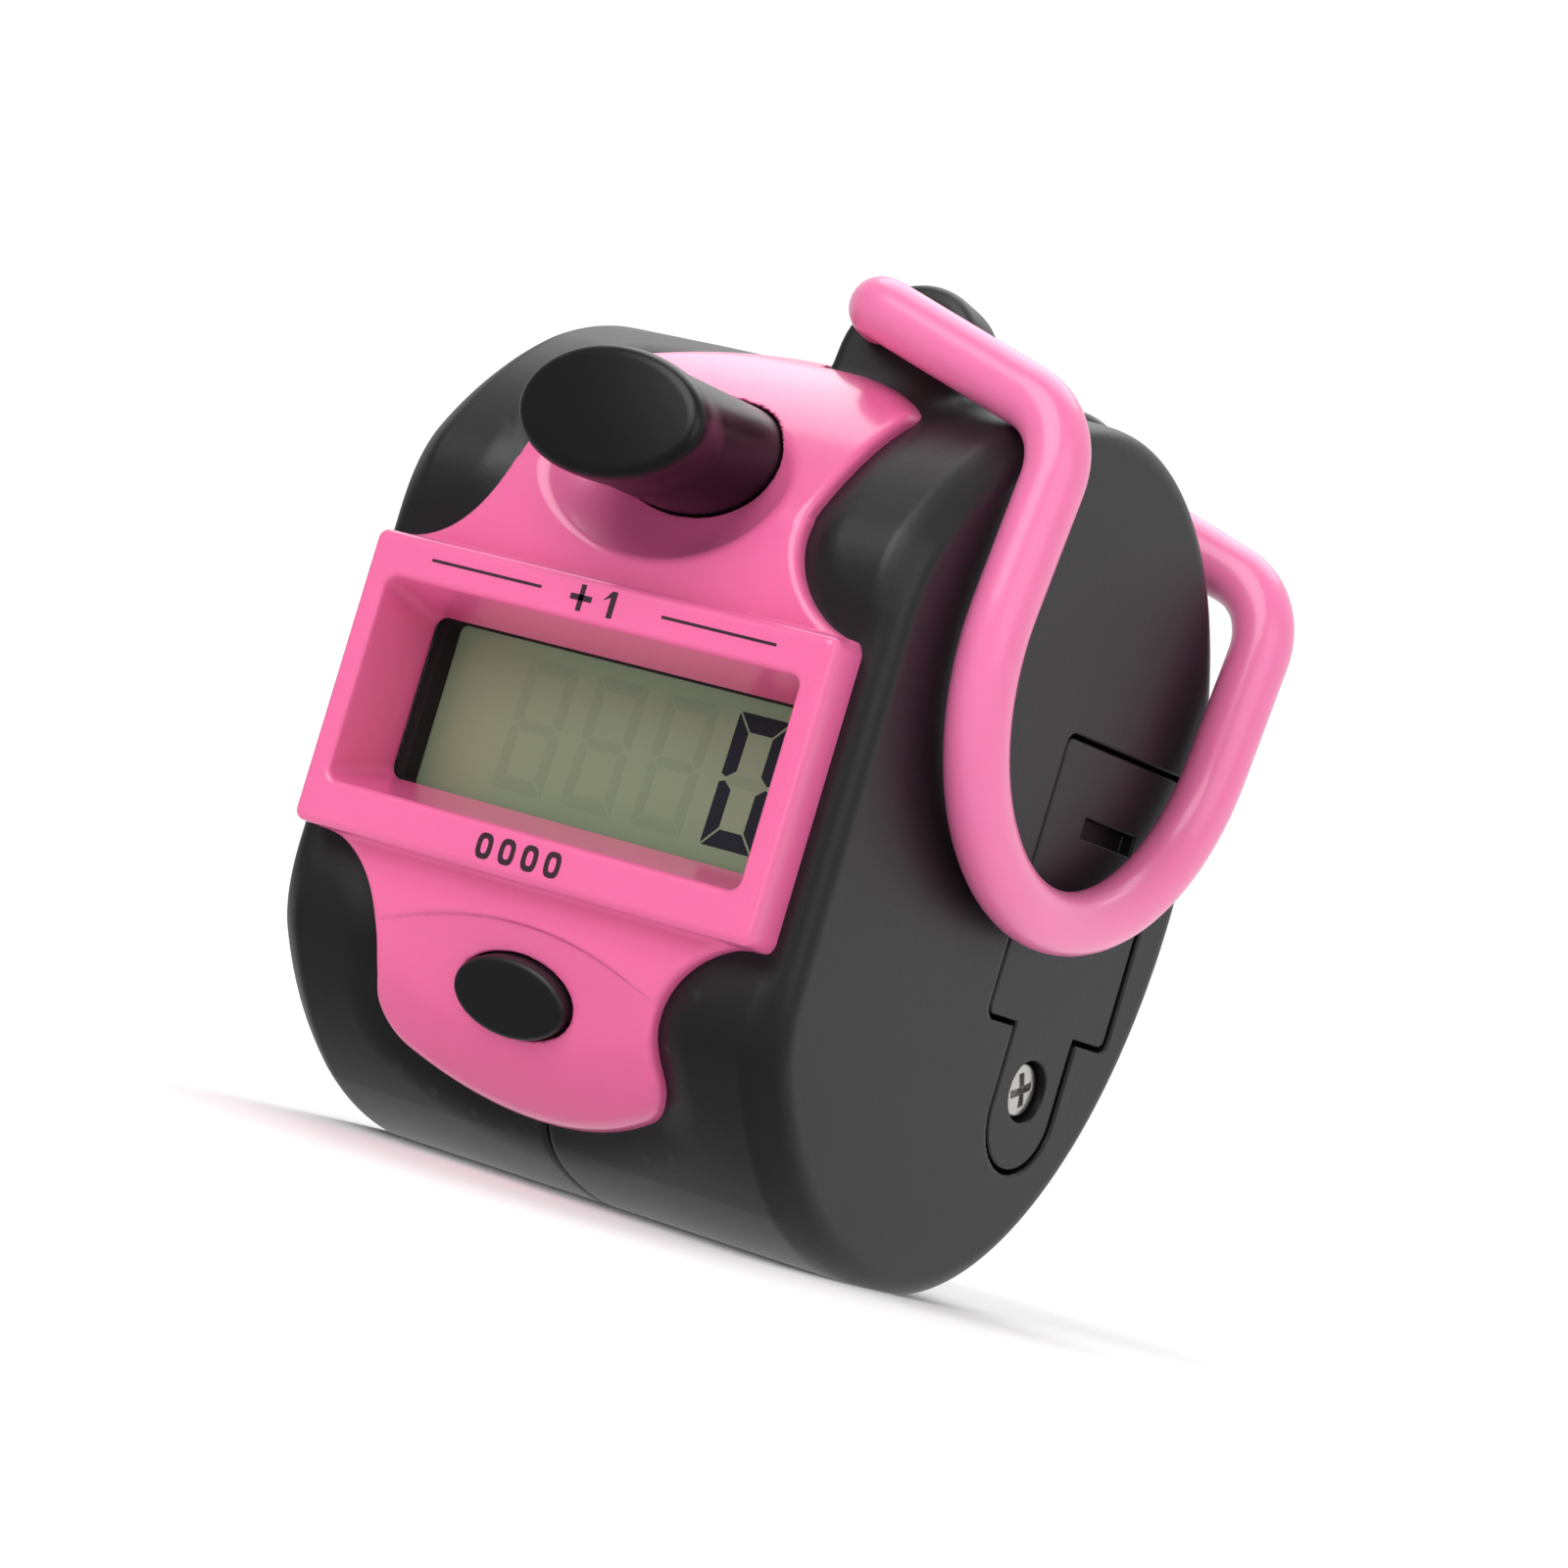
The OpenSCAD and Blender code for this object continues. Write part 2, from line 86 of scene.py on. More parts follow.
def oval2(y, z, g):
    ry = np.where(y < 0, RF + g, RR + g)
    rz = RZ + g
    zz = z - CZ
    k1 = np.sqrt((y / ry) ** 2 + (zz / rz) ** 2)
    k2 = np.sqrt((y / ry**2) ** 2 + (zz / rz**2) ** 2)
    d = k1 * (k1 - 1) / np.maximum(k2, 1e-6)
    return smax(d, (FY - g) - y, 1.2)


def body(x, y, z, g=0.0, hw=HW, r=1.3):
    return slab(oval2(y, z, g), np.abs(x) - hw, r)


def sphere(x, y, z, c, r):
    return np.sqrt((x - c[0]) ** 2 + (y - c[1]) ** 2 + (z - c[2]) ** 2) - r


def ellipse2(a, b, ra, rb):
    k1 = np.sqrt((a / ra) ** 2 + (b / rb) ** 2)
    k2 = np.sqrt((a / ra**2) ** 2 + (b / rb**2) ** 2)
    return k1 * (k1 - 1) / np.maximum(k2, 1e-6)


def hinge_frame(x, y, z):
    c, s = math.cos(SLOPE), math.sin(SLOPE)
    dy, dz = y - HY, z - HZ
    return x - HX, c * dy - s * dz, s * dy + c * dz


def reset_frame(x, y, z):
    a = math.radians(20)
    dy, dz = y + 16.88, z - 9.1
    # local y runs up the button, local z out of it
    return x, -math.sin(a) * dy + math.cos(a) * dz, -math.cos(a) * dy - math.sin(a) * dz


def oval_button(x, y, z, r, flat=0.58):
    u, v, w = reset_frame(x, y, z)
    k1 = np.sqrt((u / r) ** 2 + (v / (r * flat)) ** 2)
    k2 = np.sqrt((u / r**2) ** 2 + (v / (r * flat) ** 2) ** 2)
    return k1 * (k1 - 1) / np.maximum(k2, 1e-6), w


def door2(y, z):
    D = DOOR
    a = rect2(y - (D["y0"] + D["y1"]) / 2, z - (D["z0"] + D["z1"]) / 2,
              (D["y1"] - D["y0"]) / 2, (D["z1"] - D["z0"]) / 2, 0.5)
    zc = SCREW_Z - 1.25
    hw = (D["t1"] - D["t0"]) / 2
    yc = (D["t1"] + D["t0"]) / 2
    b = np.where(z < zc, np.hypot(y - yc, z - zc) - hw, np.abs(y - yc) - hw)
    b = np.maximum(b, z - 20)
    return np.minimum(a, b)


# ---- surface nets ----
def nets(fn, lo, hi, h, name):
    """a closed mesh of the zero surface of fn inside a box, with vertices pulled onto the surface"""
    lo = np.array(lo, float)
    n = np.ceil((np.array(hi) - lo) / h).astype(int) + 1
    ax = [lo[i] + h * np.arange(n[i]) for i in range(3)]
    S = np.empty(n, np.float32)
    for i in range(0, n[0], 16):
        X, Y, Z = np.meshgrid(ax[0][i:i + 16], ax[1], ax[2], indexing="ij")
        S[i:i + 16] = fn(X, Y, Z)
    for a in range(3):
        sl = [slice(None)] * 3
        for e in (0, -1):
            sl[a] = e
            S[tuple(sl)] = np.maximum(S[tuple(sl)], 0.5 * h)
    inside = S < 0
    c = np.zeros(n - 1, np.int8)
    for dx in (0, 1):
        for dy in (0, 1):
            for dz in (0, 1):
                c += inside[dx:n[0] - 1 + dx, dy:n[1] - 1 + dy, dz:n[2] - 1 + dz]
    cells = np.argwhere((c > 0) & (c < 8))
    idx = np.full(n - 1, -1, np.int64)
    idx[tuple(cells.T)] = np.arange(len(cells))
    corners = [(a, b, d) for a in (0, 1) for b in (0, 1) for d in (0, 1)]
    vals = {k: S[cells[:, 0] + k[0], cells[:, 1] + k[1], cells[:, 2] + k[2]] for k in corners}
    acc = np.zeros((len(cells), 3))
    cnt = np.zeros(len(cells))
    for ka in corners:
        for a in range(3):
            if ka[a]:
                continue
            kb = list(ka); kb[a] = 1; kb = tuple(kb)
            va, vb = vals[ka], vals[kb]
            m = (va < 0) != (vb < 0)
            t = np.where(m, va / np.where(m, va - vb, 1), 0)
            p = np.array(ka, float)[None] + t[:, None] * (np.array(kb, float) - np.array(ka, float))
            acc += p * m[:, None]
            cnt += m
    V = lo + h * (cells + acc / cnt[:, None])

    def grad(P, e=0.02):
        g = np.empty_like(P)
        for a in range(3):
            d = np.zeros(3); d[a] = e
            A, B = P + d, P - d
            g[:, a] = (fn(A[:, 0], A[:, 1], A[:, 2]) - fn(B[:, 0], B[:, 1], B[:, 2])) / (2 * e)
        return g
    for _ in range(3):
        g = grad(V)
        f = fn(V[:, 0], V[:, 1], V[:, 2])
        step = (f / np.maximum((g * g).sum(1), 0.3))[:, None] * g
        V -= np.clip(step, -0.5 * h, 0.5 * h)
    faces = []
    for a in range(3):
        b, d = (a + 1) % 3, (a + 2) % 3
        s0 = [slice(1, -1)] * 3; s1 = [slice(1, -1)] * 3
        s0[a] = slice(0, -1); s1[a] = slice(1, None)
        A, B = inside[tuple(s0)], inside[tuple(s1)]
        for flip, m in ((False, A & ~B), (True, ~A & B)):
            q = np.argwhere(m)
            q[:, b] += 1; q[:, d] += 1
            if not len(q):
                continue
            off = np.zeros((4, 3), int)
            off[1, b] = -1; off[2, b] = -1; off[2, d] = -1; off[3, d] = -1
            if flip:
                off = off[::-1]
            quad = np.stack([idx[tuple((q + o).T)] for o in off], 1)
            faces.append(quad)
    F = np.concatenate(faces)
    me = bpy.data.meshes.new(name)
    me.vertices.add(len(V)); me.vertices.foreach_set("co", (V * MM).astype(np.float32).ravel())
    me.loops.add(len(F) * 4); me.loops.foreach_set("vertex_index", F.astype(np.int32).ravel())
    me.polygons.add(len(F))
    me.polygons.foreach_set("loop_start", np.arange(len(F), dtype=np.int32) * 4)
    me.polygons.foreach_set("loop_total", np.full(len(F), 4, np.int32))
    me.update(calc_edges=True)
    me.validate()
    if len(me.vertices) == len(V):
        me.shade_smooth()
        g = grad(V, 0.05)
        g /= np.maximum(np.linalg.norm(g, axis=1)[:, None], 1e-9)
        me.normals_split_custom_set_from_vertices(g.tolist())
    ob = bpy.data.objects.new(name, me)
    bpy.context.scene.collection.objects.link(ob)
    return ob


# ---- materials ----
def material(name, base, rough=0.4, metal=0.0, coat=0.0, spec=0.5, vary=0.06, grain=900.0,
             bump=0.02, bump_mm=0.02, wear=None, sss=0.0):
    """plastic or metal with broad colour and gloss changes, a fine grain, and worn edges if asked"""
    m = bpy.data.materials.new(name)
    m.use_nodes = True
    nt = m.node_tree
    p = nt.nodes["Principled BSDF"]
    p.inputs["Metallic"].default_value = metal
    p.inputs["Specular IOR Level"].default_value = spec
    p.inputs["Coat Weight"].default_value = coat
    p.inputs["Coat Roughness"].default_value = 0.12
    if sss:
        p.inputs["Subsurface Weight"].default_value = sss
        p.inputs["Subsurface Scale"].default_value = 0.0012
    tc = nt.nodes.new("ShaderNodeTexCoord")
    fine = nt.nodes.new("ShaderNodeTexNoise")
    fine.inputs["Scale"].default_value = grain
    fine.inputs["Detail"].default_value = 4
    broad = nt.nodes.new("ShaderNodeTexNoise")
    broad.inputs["Scale"].default_value = 70
    broad.inputs["Detail"].default_value = 3
    nt.links.new(tc.outputs["Object"], fine.inputs["Vector"])
    nt.links.new(tc.outputs["Object"], broad.inputs["Vector"])
    mix = nt.nodes.new("ShaderNodeMix"); mix.data_type = "RGBA"
    dark = [c * (1 - vary) for c in base]
    light = [min(1, c * (1 + vary)) for c in base]
    mix.inputs["A"].default_value = (*dark, 1)
    mix.inputs["B"].default_value = (*light, 1)
    nt.links.new(broad.outputs["Fac"], mix.inputs["Factor"])
    colour = mix.outputs["Result"]
    if wear:
        geo = nt.nodes.new("ShaderNodeNewGeometry")
        ramp = nt.nodes.new("ShaderNodeMapRange")
        ramp.inputs["From Min"].default_value = 0.53
        ramp.inputs["From Max"].default_value = 0.62
        nt.links.new(geo.outputs["Pointiness"], ramp.inputs["Value"])
        mul = nt.nodes.new("ShaderNodeMath"); mul.operation = "MULTIPLY"
        nt.links.new(ramp.outputs["Result"], mul.inputs[0])
        nt.links.new(fine.outputs["Fac"], mul.inputs[1])
        wm = nt.nodes.new("ShaderNodeMix"); wm.data_type = "RGBA"
        nt.links.new(mul.outputs["Value"], wm.inputs["Factor"])
        nt.links.new(colour, wm.inputs["A"])
        wm.inputs["B"].default_value = (*wear, 1)
        colour = wm.outputs["Result"]
    nt.links.new(colour, p.inputs["Base Color"])
    rr = nt.nodes.new("ShaderNodeMapRange")
    rr.inputs["To Min"].default_value = max(0.02, rough - 0.06)
    rr.inputs["To Max"].default_value = min(1, rough + 0.08)
    nt.links.new(broad.outputs["Fac"], rr.inputs["Value"])
    nt.links.new(rr.outputs["Result"], p.inputs["Roughness"])
    if bump:
        bn = nt.nodes.new("ShaderNodeBump")
        bn.inputs["Strength"].default_value = bump
        bn.inputs["Distance"].default_value = bump_mm * MM
        nt.links.new(fine.outputs["Fac"], bn.inputs["Height"])
        nt.links.new(bn.outputs["Normal"], p.inputs["Normal"])
    return m


PINK = material("pink_plastic", (0.83, 0.14, 0.345), rough=0.30, coat=0.55,
                vary=0.03, grain=1400, bump=0.10, bump_mm=0.01, sss=0.06)
RING = material("ring_plastic", (0.86, 0.19, 0.41), rough=0.34, coat=0.4,
                vary=0.04, grain=1100, bump=0.15, bump_mm=0.015, sss=0.08)
BLACK = material("case_plastic", (0.0075, 0.0075, 0.0083), rough=0.42, spec=0.5,
                 vary=0.18, grain=2600, bump=0.35, bump_mm=0.03, wear=(0.03, 0.03, 0.033))
GLOSS = material("button_plastic", (0.0045, 0.0045, 0.005), rough=0.33, spec=0.36,
                 vary=0.15, grain=1500, bump=0.12, bump_mm=0.015)
SATIN = material("reset_plastic", (0.005, 0.005, 0.0055), rough=0.42,
                 vary=0.15, grain=2400, bump=0.3, bump_mm=0.02)
GASKET = material("gasket_foam", (0.006, 0.006, 0.007), rough=0.8,
                  vary=0.3, grain=2500, bump=0.6, bump_mm=0.06)
LCD = material("lcd_back", (0.235, 0.30, 0.185), rough=0.3, coat=0.15,
               vary=0.07, grain=3000, bump=0.03, bump_mm=0.005)
INK = material("lcd_ink", (0.008, 0.010, 0.020), rough=0.35, vary=0.2, bump=0.05)
GHOST = material("lcd_ghost", (0.212, 0.276, 0.17), rough=0.3, coat=0.15, vary=0.1, bump=0.03)
PRINT = material("printed_ink", (0.035, 0.01, 0.018), rough=0.5, vary=0.3, bump=0.2, grain=3000)
STEEL = material("screw_metal", (0.62, 0.61, 0.58), rough=0.3, metal=1.0,
                 vary=0.12, grain=2500, bump=0.3, bump_mm=0.02)
WIRE = material("spring_metal", (0.5, 0.5, 0.52), rough=0.3, metal=1.0, vary=0.1, grain=3000, bump=0.3)
CELL = material("cell_metal", (0.66, 0.66, 0.66), rough=0.22, metal=1.0, vary=0.06, grain=600, bump=0.15)
GOLD = material("contact_metal", (0.75, 0.58, 0.27), rough=0.3, metal=1.0, vary=0.1, grain=1800, bump=0.2)
PCB = material("board_mask", (0.02, 0.12, 0.045), rough=0.35, coat=0.4,
               vary=0.2, grain=1600, bump=0.3, bump_mm=0.03)
EPOXY = material("epoxy", (0.012, 0.012, 0.013), rough=0.25, coat=0.3, vary=0.2, grain=500, bump=0.2)
ZEBRA = material("elastomer", (0.08, 0.08, 0.085), rough=0.7, vary=0.3, grain=2000, bump=0.4)
HOLDER = material("natural_plastic", (0.62, 0.61, 0.57), rough=0.45, vary=0.05, grain=1500, bump=0.15)
RED = material("wire_red", (0.45, 0.02, 0.015), rough=0.4, vary=0.1, bump=0.1)
BROWN = material("component", (0.3, 0.2, 0.11), rough=0.5, vary=0.15, bump=0.2)

for node, m in {
    "case_left": BLACK, "case_right": BLACK, "fascia": PINK, "lcd_gasket": GASKET, "lcd_glass": LCD,
    "zebra_strips": ZEBRA, "lcd_holder": HOLDER, "circuit_board": PCB, "chip_blob": EPOXY,
    "count_button": GLOSS, "count_spring": WIRE, "count_switch": EPOXY, "reset_button": SATIN,
    "reset_switch": EPOXY, "battery_door": BLACK, "door_screw": STEEL, "button_cell": CELL,
    "clip_plus": GOLD, "clip_minus": GOLD, "wire_plus": RED, "wire_minus": EPOXY,
    "finger_ring": RING, "case_screws_set": STEEL, "board_screws": STEEL,
    "resistor": BROWN, "capacitor": BROWN,
}.items():
    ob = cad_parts[node]
    ob.data.materials.clear()
    ob.data.materials.append(m)


def place(ob, m, body_name, nodes=()):
    ob.data.materials.clear()
    ob.data.materials.append(m)
    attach(ob, body_name)
    if nodes:
        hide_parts(*nodes)
    return ob


H = 0.24


# ---- outline of the pink mask, seen from the front ----
def outline2(x, z):
    strip = smax(np.abs(x) - 9.5, np.where(z > 26.6, np.hypot(x, z - 26.6), z * 0) - 19.6, 0.6)
    strip = smax(strip, np.where(z < 23, np.hypot(x, z - 23.0), z * 0) - 19.6, 1.6)
    flare = np.maximum(np.abs(x) - 14.8, np.abs(z - 22.95) - 13.65)
    d = np.minimum(strip, flare)
    ax = np.abs(x)
    d = smax(d, -(np.hypot(ax - 15.25, z - 36.7) - 5.7), 0.2)
    d = smax(d, -(np.hypot(ax - 15.0, z - 9.2) - 5.8), 0.2)
    return d


# ---- case halves ----
def swell(x, y, z):
    """how far the cheeks rise beside the mask, mm"""
    o = outline2(x, z)
    t = np.clip(o / 2.2, 0, 1)
    u = np.clip((16.2 - np.abs(x)) / 1.5, 0, 1)
    v = np.clip((np.abs(z - DISP_Z) - 7.0) / 6.5, 0, 1)
    w = np.clip((-2 - y) / 8, 0, 1) * v * v * (3 - 2 * v)
    return 0.7 * np.sin(t * math.pi / 2) * u * u * (3 - 2 * u) * w


def case(x, y, z):
    outer = body(x, y, z) - swell(x, y, z) * 0.8
    outer = np.maximum(outer, -z)
    cavity = body(x, y, z, -1.6, HW - 1.6, 0.5)
    u, v, w = hinge_frame(x, y, z)
    e2 = np.where(w < -2, np.abs(u - 1.65) - 4.4, np.hypot(u - 1.65, w + 2) - 4.4)
    ear = smax(e2, np.abs(np.abs(v) - 8.35) - 1.65, 0.9)
    ear = np.maximum(ear, -9.4 - w)
    ear = np.maximum(ear, -(x - 0.1))
    d = smin(outer, ear, 1.0)
    d = np.maximum(d, -cavity)
    # openings under the mask
    d = np.maximum(d, -slab(rect2(x, z - DISP_Z, 14.5, 6.9, 1), np.abs(y + 20) - 6.5, 0.1))
    d = np.maximum(d, -sphere(x / 1.13, y, z, SCOOP, SCOOP[3] + 0.45))
    d = np.maximum(d, -np.maximum(ellipse2(x, z - PLUNGER_Z, 6.3, 4.9), y + 8.7))
    b2, bw = oval_button(x, y, z, 5.7)
    d = np.maximum(d, -np.maximum(b2, np.abs(bw + 2) - 4))
    # screw wells on the left side
    for sy, sz in CASE_SCREWS:
        d = smax(d, -np.maximum(np.hypot(y - sy, z - sz) - 2.15, x + HW - 3.4), 0.12)
    # recess of the battery door
    dd = door2(y, z) - 0.24
    d = smax(d, -np.maximum(dd, 15.15 - x), 0.14)
    floor_ = np.maximum(door2(y, z) - 1.1, np.abs(x - 14.3) - 0.85)
    floor_ = np.maximum(floor_, 6.05 - np.hypot(y - CELL_Y, z - CELL_Z))
    d = np.minimum(d, floor_)
    # pin bores
    d = np.maximum(d, -(np.hypot(u, w) - 1.18 + np.maximum(0, -(np.abs(v) - 5))))
    return d


def half(s):
    return lambda x, y, z: smax(case(x, y, z), 0.03 - s * x, 0.34)


left = nets(half(-1), (-17.4, -18, -0.8), (0.6, 18.2, 47.6), H, "case_left_skin")
place(left, BLACK, "counter", ["case_left"])
right = nets(half(1), (-0.6, -18, -0.8), (17.4, 18.2, 53.2), H, "case_right_skin")
place(right, BLACK, "counter", ["case_right"])


# ---- pink mask ----
def mask(x, y, z):
    skin = body(x, y, z, 0.8, HW, 1.3)
    o2 = outline2(x, z)
    d = smax(skin, o2, 0.55)
    d = np.maximum(d, y + 2)
    bowl = np.maximum(sphere(x / 1.13, y, z, SCOOP, SCOOP[3] + 0.8), body(x, y, z, 0.5))
    bowl = np.maximum(bowl, np.abs(x) - 9.3)
    inner = body(x, y, z, -0.35, HW + 1, 1.3)
    d = np.maximum(d, -inner)
    d = np.minimum(d, np.maximum(bowl, o2 + 0.3))
    fr = slab(rect2(x, z - DISP_Z, 15.12, 8, 0.6), np.abs(y + 18.05) - 1.55, 0.55)
    d = smin(d, fr, 0.3)
    walls = np.maximum(rect2(x, z - DISP_Z, 14.2, 6.6, 0.8), np.abs(y + 15.85) - 1.65)
    d = np.minimum(d, walls)
    # recess in front of the display
    hz = 4.4 + np.maximum(-14.2 - y, 0) * math.tan(math.radians(12.6))
    rec = rect2(x, z - 22.98, 13.6, hz, 0.7)
    d = smax(d, -rec, 0.35)
    # scoop and the dished seat of the reset button
    d = smax(d, -sphere(x / 1.13, y, z, SCOOP, SCOOP[3]), 0.3)
    dish = np.maximum(sphere(x, y, z, (0, -71.8, -8.2), 58.2), z - 12.9 + x * x / 42)
    d = smax(d, -dish, 0.32)
    d = np.maximum(d, -ellipse2(x, z - PLUNGER_Z, PLUNGER_A + 0.1, PLUNGER_B + 0.1))
    b2, bw = oval_button(x, y, z, 3.82)
    d = smax(d, -np.maximum(b2, -4 - bw), 0.12)
    u, v, w = hinge_frame(x, y, z)
    ear = np.maximum(np.maximum(np.abs(u - 1.7) - 4.7, -10.12 - v), 30 - z)
    d = np.maximum(d, -ear)
    return d


fa = nets(mask, (-15.6, -20.1, 2.6), (15.6, -5.5, 47), H * 0.72, "mask")
place(fa, PINK, "counter", ["fascia"])


# ---- plunger ----
def plunger(x, y, z):
    t = np.clip((-19.6 - y) / 3.2, 0, 1)
    t = t * t * (3 - 2 * t)
    stem = ellipse2(x, z - PLUNGER_Z, PLUNGER_A + 0.62 * t, PLUNGER_B + 0.18 * t)
    dome = sphere(x, y, z, (0, 16.27, 35.7), 40)
    d = smax(stem, dome, 0.7)
    d = np.maximum(d, y + 11.4)
    fl = np.maximum(np.maximum(ellipse2(x, z - PLUNGER_Z, 5.9, 4.55), np.abs(y + 11.4) - 0.45), z - 41.35)
    return np.minimum(d, fl)


pl = nets(plunger, (-6.3, -24.4, 33.9), (6.3, -10.6, 43.0), H * 0.6, "plunger")
place(pl, GLOSS, "plunger", ["count_button"])


# ---- reset button ----
def reset(x, y, z):
    d2, w = oval_button(x, y, z, 3.66)
    u, v, _ = reset_frame(x, y, z)
    top = w - 0.32 + (u**2 + (v * 1.7) ** 2) / 90
    d = smax(d2, top, 0.35)
    d = np.maximum(d, -2.6 - w)
    f2, _ = oval_button(x, y, z, 5.1)
    fl = np.maximum(f2, np.abs(w + 2.42) - 0.47)
    stem = np.maximum(np.hypot(u, v) - 1.1, np.abs(w + 5.7) - 3.5)
    return np.minimum(np.minimum(d, fl), stem)


rb = nets(reset, (-5.4, -18.6, 5.2), (5.4, -6.6, 14.2), H * 0.6, "reset_cap")
place(rb, SATIN, "reset", ["reset_button"])


# ---- battery door and its screw ----
def door(x, y, z):
    d = slab(door2(y, z), np.abs(x - 15.925) - 0.725, 0.14)
    slot = np.maximum(np.maximum(np.abs(y - 7.9) - 2.7, np.abs(z - 26.35) - 0.55), 15.85 - x)
    d = smax(d, -slot, 0.08)
    boss = np.maximum(np.hypot(y - SCREW_Y, z - SCREW_Z) - 2.3, np.abs(x - 14.7) - 0.65)
    d = np.minimum(d, boss)
    d = smax(d, -np.maximum(np.hypot(y - SCREW_Y, z - SCREW_Z) - 1.7, 15.2 - x), 0.12)
    d = np.maximum(d, -(np.hypot(y - SCREW_Y, z - SCREW_Z) - 0.9))
    tongue = np.maximum(np.maximum(np.abs(x - 14.8) - 0.4, np.abs(y - 7.5) - 2.5), np.abs(z - 30.35) - 1.3)
    d = np.minimum(d, tongue)
    return np.maximum(d, -np.maximum(np.hypot(y - CELL_Y, z - CELL_Z) - 6.0, x - 15.4))


dr = nets(door, (13.8, 0.9, 7.4), (16.9, 14.1, 32.0), H * 0.55, "door_skin")
place(dr, BLACK, "counter", ["battery_door"])


def screw(x, y, z):
    r = np.hypot(y - SCREW_Y, z - SCREW_Z)
    d = smax(r - 1.5, np.abs(x - 15.75) - 0.55 + r * r * 0.05, 0.15)
    a = math.radians(24)
    p = (y - SCREW_Y) * math.cos(a) + (z - SCREW_Z) * math.sin(a)
    q = -(y - SCREW_Y) * math.sin(a) + (z - SCREW_Z) * math.cos(a)
    p, q = np.abs(p), np.abs(q)
    cross = np.minimum(np.maximum(p - 0.95, q - 0.2), np.maximum(q - 0.95, p - 0.2))
    d = smax(d, -np.maximum(cross, 15.75 - x), 0.06)
    shank = np.maximum(r - 0.72 - 0.03 * np.sin(x * 14), np.abs(x - 13) - 2.4)
    return np.minimum(d, shank)


sc = nets(screw, (10.4, 5.6, 10.4), (16.5, 9.1, 13.8), 0.07, "door_screw_skin")
place(sc, STEEL, "counter", ["door_screw"])


# ---- finger ring ----
def tube(points, r, name, seg=28):
    P = np.array(points, float)
    T = np.gradient(P, axis=0)
    T /= np.linalg.norm(T, axis=1)[:, None]
    up = np.array([1.0, 0, 0.3]); up -= up @ T[0] * T[0]; up /= np.linalg.norm(up)
    verts, faces = [], []
    for i, (p, t) in enumerate(zip(P, T)):
        up = up - (up @ t) * t
        up /= np.linalg.norm(up)
        side = np.cross(t, up)
        rr = r[i] if hasattr(r, "__len__") else r
        for k in range(seg):
            a = 2 * math.pi * k / seg
            verts.append((p + rr * (math.cos(a) * up + math.sin(a) * side)) * MM)
    n = len(P)
    for i in range(n - 1):
        for k in range(seg):
            k2 = (k + 1) % seg
            faces.append((i * seg + k, i * seg + k2, (i + 1) * seg + k2, (i + 1) * seg + k))
    faces.append(tuple(range(seg))[::-1])
    faces.append(tuple((n - 1) * seg + k for k in range(seg)))
    me = bpy.data.meshes.new(name)
    me.from_pydata([tuple(v) for v in verts], [], faces)
    me.validate()
    me.shade_smooth()
    ob = bpy.data.objects.new(name, me)
    bpy.context.scene.collection.objects.link(ob)
    return ob


def ring_path():
    """half of the ring in the hinge frame, from the front pin to the bottom of the loop"""
    drop = math.radians(16.6)
    lx, half_y, down, pb, cr = 15.0, 12.5, 14.4, 2.2, 4.5
    ex = np.array([math.cos(drop), 0, -math.sin(drop)])
    ey = np.array([0, 1.0, 0])
    leg = lx / math.cos(drop)
    ct = cr * math.tan((math.pi / 2 - drop) / 2)
    o = np.array([0, -half_y, 0])
    pts = [o + ey * t for t in np.linspace(5.5, 2.3, 8)]
    c = o + ex * pb + ey * pb
    pts += [c - ex * pb * math.cos(a) - ey * pb * math.sin(a) for a in np.linspace(0.05, math.pi / 2, 12)]
    pts += [o + ex * t for t in np.linspace(pb + 0.4, leg - ct - 0.4, 16)]
    c = np.array([lx - cr, -half_y, -lx * math.tan(drop) - ct])
    pts += [c + cr * np.array([math.cos(a), 0, math.sin(a)]) for a in np.linspace(math.pi / 2 - drop, 0, 16)]
    z1 = c[2]
    pts += [np.array([lx, -half_y, z]) for z in np.linspace(z1 - 0.4, -down + 0.2, 8)]
    quarter = np.linspace(0, math.pi / 2, 30)
    pts += [np.array([lx, -half_y * math.cos(a), -down - half_y * math.sin(a)]) for a in quarter]
    return pts


def from_hinge(P):
    c, s = math.cos(SLOPE), math.sin(SLOPE)
    P = np.array(P)
    return np.stack([HX + P[:, 0], HY + c * P[:, 1] + s * P[:, 2], HZ - s * P[:, 1] + c * P[:, 2]], 1)


half_path = ring_path()
path = half_path + [p * np.array([1, -1, 1]) for p in half_path[-2::-1]]
path = from_hinge(path)
s = np.concatenate([[0], np.cumsum(np.linalg.norm(np.diff(path, axis=0), axis=1))])
rad = np.where((s < 3.25) | (s > s[-1] - 3.25), 1.1, 1.7)
ring = tube(path, rad, "ring_rod")
place(ring, RING, "ring", ["finger_ring"])


# ---- plunger spring ----
COIL_Y0, COIL_Y1, COIL_R, COIL_WIRE, COIL_TURNS, PRESS = -7.52, -10.88, 2.5, 0.2, 2.5, 1.8
turn = np.linspace(0, 1, 120)
angle = 2 * math.pi * COIL_TURNS * turn
coil = np.stack([
    COIL_R * np.cos(angle),
    COIL_Y0 - COIL_WIRE + (COIL_Y1 - COIL_Y0 + 2 * COIL_WIRE) * turn,
    PLUNGER_Z + COIL_R * np.sin(angle),
], 1)
spring = tube(coil, COIL_WIRE, "plunger_coil", seg=12)
place(spring, WIRE, "counter", ["count_spring"])
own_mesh(spring)


